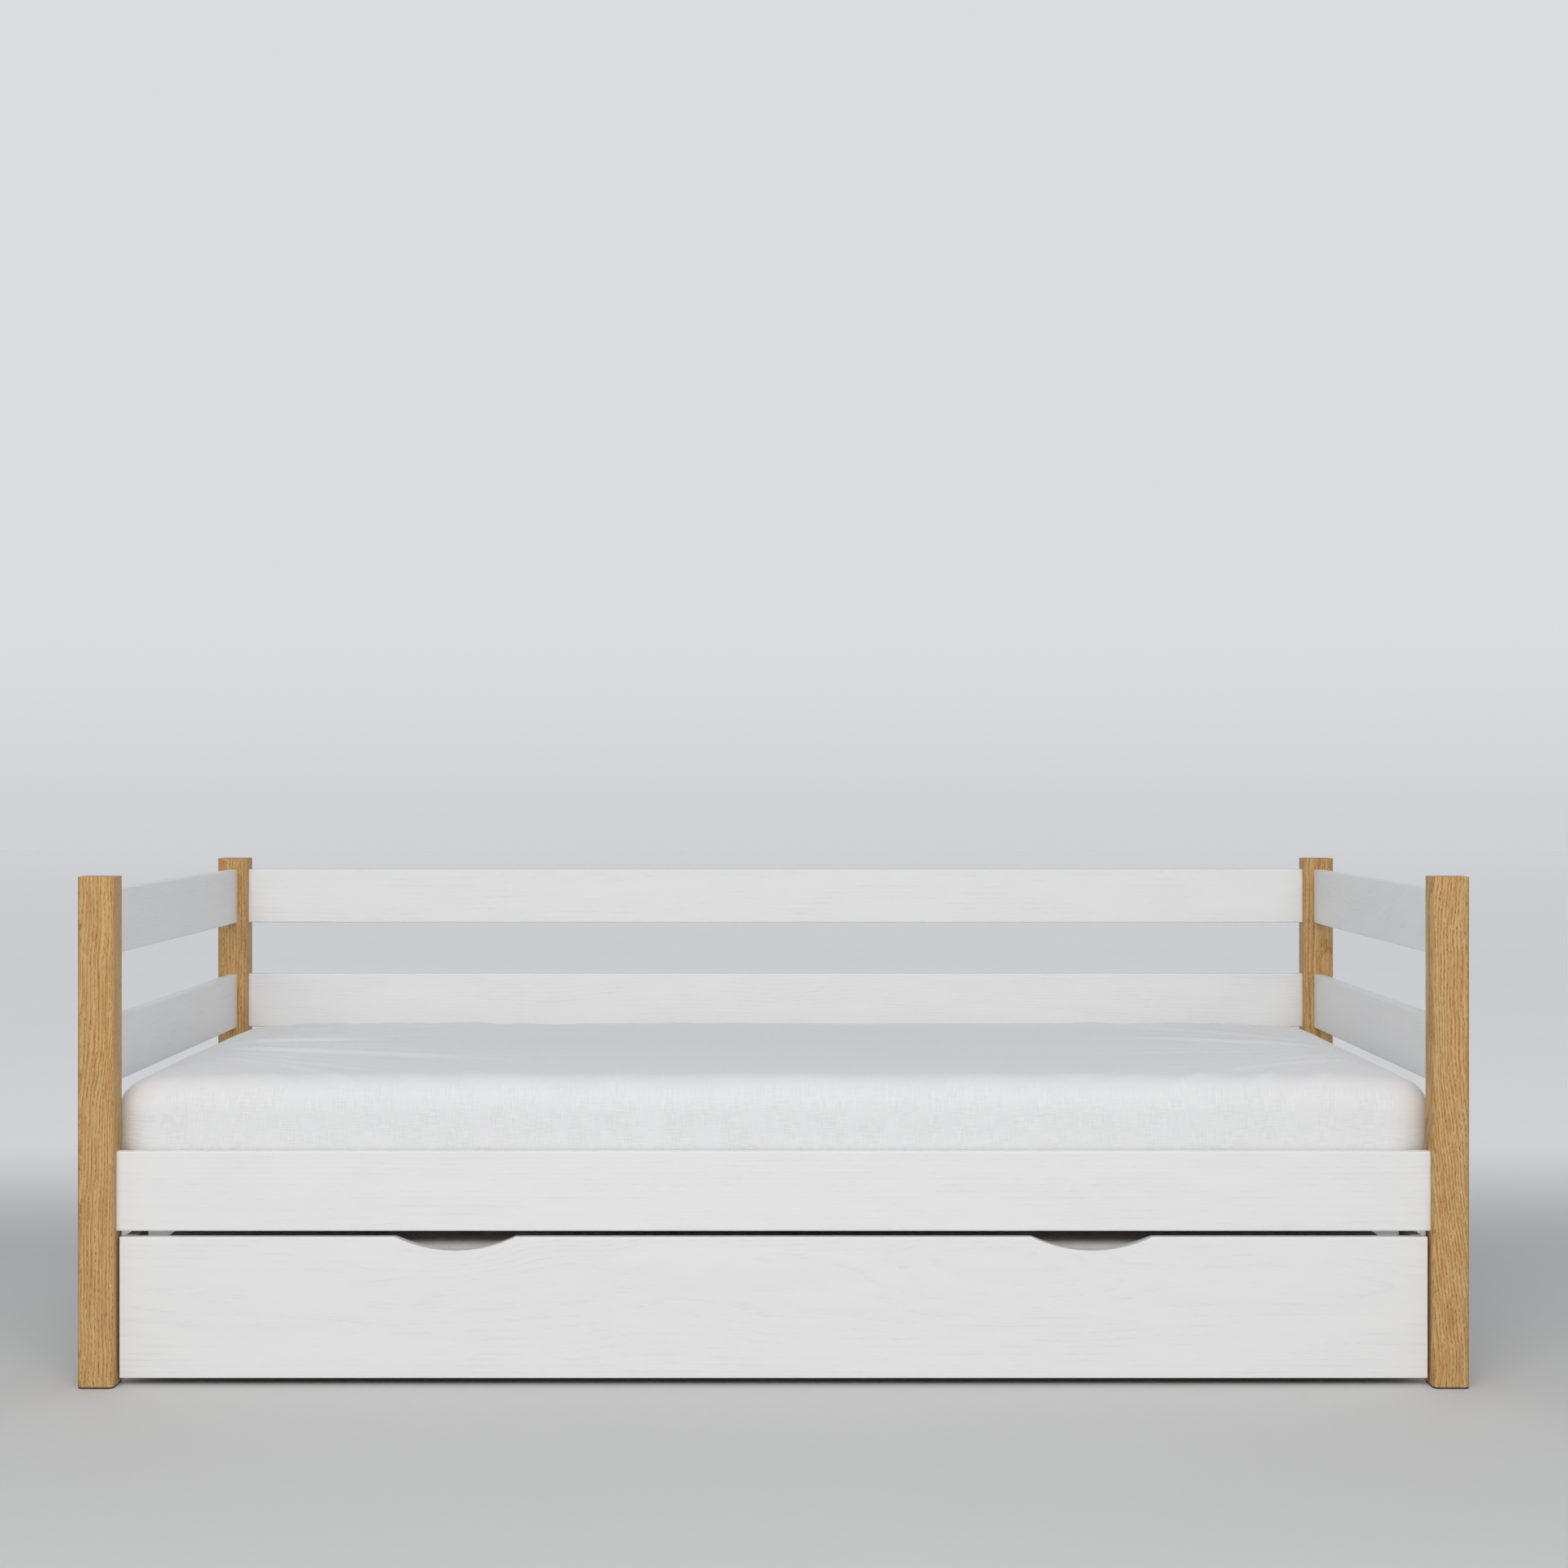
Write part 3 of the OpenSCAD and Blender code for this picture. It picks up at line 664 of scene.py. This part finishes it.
def end_fan(x, y, half_x, side, waves):
    """Height of the shallow pull folds that fan out from the middle of one short end.

    side is -1 at the left end and 1 at the right one. waves are the broad folds, the narrow folds
    between them, and the length of the folds.
    """
    broad, narrow, length = waves
    reach = half_x - side * x + FAN_BEYOND
    angle = np.arctan2(y + FAN_ASIDE * side, reach)
    folds = broad(angle * 46, reach * 3) + 0.5 * narrow(angle * 95, reach * 5)
    # Ridges stand sharper than the hollows between them
    folds = folds + 0.45 * np.maximum(folds, 0) ** 2
    start = ease(reach, *FAN_START)
    fade = 1 - ease(reach, FAN_FADE, FAN_END + FAN_END_SPREAD * length(angle * 9))
    return folds * start * fade * (1 - ease(np.abs(angle), 0.75, 1.25))


# Distance from the sides within which a mattress's top sinks towards a corner, and to a short end
CORNER_REACH = 190 * MM
END_REACH = 150 * MM


def mattress_shape(slab, bulge, square, drop, end_drop=0.0):
    """Places of a slab's points once its filling has settled.

    The sides fill out by bulge, the upright corners stand out by square, and the top sinks by
    drop towards its four corners, where a tight cover holds it down, and by end_drop towards its
    two short ends.
    """
    x, y, z = slab.points.T
    half_x, half_y = slab.half
    height = np.clip((z - slab.low) / (slab.high - slab.low), 0, 1)
    flat = slab.normals[:, :2]
    side = np.hypot(*flat.T)
    diagonal = 2 * np.abs(flat[:, 0] * flat[:, 1]) / np.maximum(side, 1e-6) ** 2
    # Fullest at half of the height; the bulge is a little less at the upright corners
    belly = side * np.sin(math.pi * height) ** 0.6
    push = belly * (bulge * (1 - 0.35 * diagonal) + square * diagonal**1.2)
    moved = slab.points + slab.normals * push[:, None]
    corner = ease(np.abs(x), half_x - CORNER_REACH, half_x)
    corner = corner * ease(np.abs(y), half_y - CORNER_REACH, half_y)
    end = ease(np.abs(x), half_x - END_REACH, half_x)
    moved[:, 2] -= (drop * corner + end_drop * end) * height
    return moved


# Distance from the sides where the gathers of the sheet's corners start, where the folds along
# its long edges do, and where both are whole
TUCK_REACH = 200 * MM
LIP_REACH = 90 * MM
EDGE_REACH = 20 * MM
# Room left for the sheet over the mattress, and the deepest that a fold may sink, in millimetres
SHEET_RISE = 0.8
SHEET_SINK = -2.8


def sheet_folds(slab):
    """How far the fitted sheet stands off the mattress at each point.

    fans are the pull folds at both ends, slack the long shallow waves of the top, lip the short
    ones along its long edges, tuck the gathers at the corners, and hang the waves of the sides.
    """
    x, y, z = slab.points.T
    half_x, half_y = slab.half
    up = np.clip(slab.normals[:, 2], 0, 1)
    side = np.hypot(slab.normals[:, 0], slab.normals[:, 1])
    fans = 0.0
    for end in (-1, 1):
        fans = fans + end_fan(x, y, half_x, end, [Waves(), Waves(), Waves(5)])
    slack = Waves()(x * 16, y * 21)
    lip = Waves()(x * 78, y * 8) * ease(np.abs(y), half_y - LIP_REACH, half_y - EDGE_REACH)
    corner = ease(np.abs(x), half_x - TUCK_REACH, half_x - EDGE_REACH)
    corner = corner * ease(np.abs(y), half_y - TUCK_REACH, half_y - EDGE_REACH)
    tuck = Waves()((x * np.sign(y) + y) * 95, z * 14) * corner
    hang = Waves()(x * 9, z * 26 + y * 9) * side
    # Each kind of fold with its height in millimetres
    off = 1.5 * fans * up + 0.60 * slack * up + 0.45 * lip * up + 0.5 * tuck + 0.45 * hang
    return MM * (SHEET_RISE + np.maximum(off, SHEET_SINK))


# Distance between the sewn lines of the guest mattress's quilted cover
QUILT = 112 * MM
# Half of the width of the groove that a sewn line draws, the depth of that groove alone, and the
# depth of the hollow between the quilt's pillows and of the deepest place as shares of it
STITCH_GROOVE = 8 * MM
QUILT_DEPTH = 2.6 * MM
PILLOW_SHARE = 0.45
DEEPEST_SHARE = 1.5
# Distances from the sides between which the quilting comes up
QUILT_MARGIN = (45 * MM, 75 * MM)


def quilting(slab):
    """How far the quilted top of a cover sinks at each point, along two families of sewn lines."""
    x, y, _ = slab.points.T
    half_x, half_y = slab.half
    sunk = 0.0
    for slant in (-1, 1):
        place = (x + slant * y) / math.sqrt(2)
        across = QUILT * (np.abs((place / QUILT) % 1 - 0.5) - 0.5)
        groove = np.exp(-((across / STITCH_GROOVE) ** 2))
        hollow = PILLOW_SHARE * (1 + np.cos(FULL_TURN * place / QUILT)) / 2
        sunk = sunk + groove + hollow
    inside = ease(half_x - np.abs(x), *QUILT_MARGIN) * ease(half_y - np.abs(y), *QUILT_MARGIN)
    up = np.clip(slab.normals[:, 2], 0, 1)
    return QUILT_DEPTH * np.minimum(sunk, DEEPEST_SHARE) * inside * up


# ---------------------------------------------------------------- soft pieces

STEP = 7 * MM
CLOTH_THICKNESS = 0.8 * MM
# Room between the mattress and the sheet at the sides, and at the top
SIDE_GAP = 2 * MM
TOP_GAP = 3 * MM
HEM_WIDTH = 90 * MM
ELASTIC_RADIUS = 2.5 * MM
SEAM_RADIUS = 0.6 * MM
SEAM_SUNK = 0.3 * MM
PIPING_RADIUS = 2.2 * MM

linen = cloth(
    "sheet_linen",
    light=(0.858, 0.858, 0.863, 1),
    hollow_shade=(0.800, 0.800, 0.808, 1),
    pitch=3.4 * MM,
    slub=24 * MM,
    depth=0.42 * MM,
    level=0.35,
)
ticking = cloth(
    "ticking",
    light=(0.80, 0.79, 0.76, 1),
    hollow_shade=(0.66, 0.65, 0.62, 1),
    pitch=1.4 * MM,
    slub=14 * MM,
    depth=0.3 * MM,
)
guest_knit = cloth(
    "guest_knit",
    light=(0.86, 0.86, 0.86, 1),
    hollow_shade=(0.78, 0.78, 0.785, 1),
    pitch=1.8 * MM,
    slub=8 * MM,
    depth=0.35 * MM,
)


def centred_box(node):
    """Half of the length and of the width of a node's box, its middle's y, and its low and high z."""
    low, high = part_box(node)
    return (high.x - low.x) / 2, (high.y - low.y) / 2, (high.y + low.y) / 2, low.z, high.z


def make_bed_mattress():
    """The mattress core that the fitted sheet is stretched over."""
    half_x, half_y, _, low, high = centred_box("bed_mattress")
    half_x, half_y = half_x - SIDE_GAP, half_y - SIDE_GAP
    slab = Slab(half_x, half_y, low, high - TOP_GAP, corner=58 * MM, edge=48 * MM, step=2 * STEP)
    slab.points = mattress_shape(
        slab, bulge=2.5 * MM, square=9 * MM, drop=3.5 * MM, end_drop=4.5 * MM
    )
    piece = slab.build("mattress_core", ticking)
    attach(piece, "bed")
    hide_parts("bed_mattress")
    return piece


def make_fitted_sheet():
    half_x, half_y, _, low, high = centred_box("fitted_sheet")
    slab = Slab(half_x, half_y, low, high, corner=60 * MM, edge=50 * MM, step=STEP, hem=HEM_WIDTH)
    off = sheet_folds(slab)
    settled = mattress_shape(slab, bulge=4.5 * MM, square=10 * MM, drop=2.5 * MM, end_drop=4 * MM)
    slab.points = settled + slab.normals * off[:, None]
    slab.points[:, 2] = np.maximum(slab.points[:, 2], low)
    piece = slab.build("fitted_sheet_cloth", linen)
    skin = piece.modifiers.new("cloth thickness", "SOLIDIFY")
    skin.thickness = CLOTH_THICKNESS
    skin.offset = -1
    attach(piece, "bed")
    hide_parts("fitted_sheet")
    stitch_fitted_sheet(slab, low)


def stitch_fitted_sheet(slab, low):
    """The sheet's corner seams, and the elastic in its hem under the mattress."""
    ks = range(slab.bend_steps - 1, slab.ring_count)
    rings = np.stack([slab.ring(k) - SEAM_SUNK * slab.ring_normals(k) for k in ks])
    for number, place in enumerate(slab.corners):
        seam = tube(f"sheet_corner_seam_{number + 1}", rings[:, place], SEAM_RADIUS, False, linen)
        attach(seam, "bed")
    edge = slab.hem_line[border(slab.hem_line.shape)]
    line = np.column_stack([edge, np.full(len(edge), low + ELASTIC_RADIUS)])
    elastic = tube("sheet_hem_elastic", line[::2], ELASTIC_RADIUS, True, linen)
    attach(elastic, "bed")


def make_guest_mattress():
    """The quilted mattress of the drawer bed, with piping round its top and bottom edges."""
    half_x, half_y, mid_y, low, high = centred_box("guest_mattress")
    slab = Slab(half_x, half_y, low, high, corner=40 * MM, edge=24 * MM, step=STEP)
    moved = mattress_shape(slab, bulge=0.8 * MM, square=0.0, drop=3 * MM)
    moved[:, 2] -= quilting(slab)
    slab.points = moved + np.array([0, mid_y, 0])
    piece = slab.build("guest_mattress_cover", guest_knit)
    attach(piece, "drawer")
    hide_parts("guest_mattress")
    middle = slab.bend_steps // 2
    for name, k in (("top", middle), ("bottom", slab.ring_count - 1 - middle)):
        line = slab.ring(k)
        piping = tube(f"guest_mattress_{name}_piping", line, PIPING_RADIUS, True, guest_knit)
        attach(piping, "drawer")


core = make_bed_mattress()
make_fitted_sheet()
make_guest_mattress()


# ---------------------------------------------------------------- floor, light and camera


def make_floor():
    bpy.ops.mesh.primitive_plane_add(size=FLOOR_SIZE)
    floor = bpy.context.object
    floor.name = "floor"
    floor.data.materials.append(floor_coat("studio_floor"))


def area_light(name, place, aim, width, height, power):
    """Rectangular lamp at a place, turned towards the point aim, with its width level."""
    data = bpy.data.lights.new(name, "AREA")
    data.shape = "RECTANGLE"
    data.size, data.size_y, data.energy = width, height, power
    data.color = LAMP_COLOR
    light = bpy.data.objects.new(name, data)
    bpy.context.scene.collection.objects.link(light)
    light.location = place
    toward = [aim[i] - place[i] for i in range(3)]
    flat = math.hypot(toward[0], toward[1])
    light.rotation_euler = (math.atan2(flat, -toward[2]), 0, math.atan2(-toward[0], toward[1]))


def make_world():
    """Soft grey room, with a paler wall behind the bed that dims a little towards the floor."""
    world = bpy.data.worlds.new("studio")
    bpy.context.scene.world = world
    world.use_nodes = True
    nodes, links = world.node_tree.nodes, world.node_tree.links
    direction = nodes.new("ShaderNodeTexCoord")
    split = nodes.new("ShaderNodeSeparateXYZ")
    rise = nodes.new("ShaderNodeMapRange")
    turn = nodes.new("ShaderNodeMapRange")
    ramps = ((rise, (*FOOT_TO_WALL, WALL_FOOT, WALL)), (turn, (*ROOM_TO_WALL, ROOM, WALL)))
    for node, numbers in ramps:
        node.interpolation_type = "SMOOTHSTEP"
        for key, value in zip(("From Min", "From Max", "To Min", "To Max"), numbers):
            node.inputs[key].default_value = value
    background = nodes["Background"]
    background.inputs["Color"].default_value = (*ROOM_COLOR, 1)
    links.new(direction.outputs["Generated"], split.inputs[0])
    links.new(split.outputs["Z"], rise.inputs["Value"])
    links.new(split.outputs["Y"], turn.inputs["Value"])
    links.new(rise.outputs[0], turn.inputs["To Max"])
    links.new(turn.outputs[0], background.inputs["Strength"])


def make_camera():
    data = bpy.data.cameras.new("camera")
    data.sensor_width = SENSOR_WIDTH
    data.lens = LENS
    camera = bpy.data.objects.new("camera", data)
    bpy.context.scene.collection.objects.link(camera)
    camera.location = CAMERA_PLACE
    camera.rotation_euler = (math.pi / 2, 0, 0)
    bpy.context.scene.camera = camera


make_floor()
make_world()
area_light("key", place=(-0.4, -3.9, 3.6), aim=(0, 0, 0.35), width=4.5, height=2.2, power=KEY)
area_light("front fill", place=(0.2, -4.7, 2.3), aim=(0, 0, 0.4), width=5.5, height=0.9, power=FILL)
make_camera()
bpy.context.scene.view_settings.view_transform = "Standard"
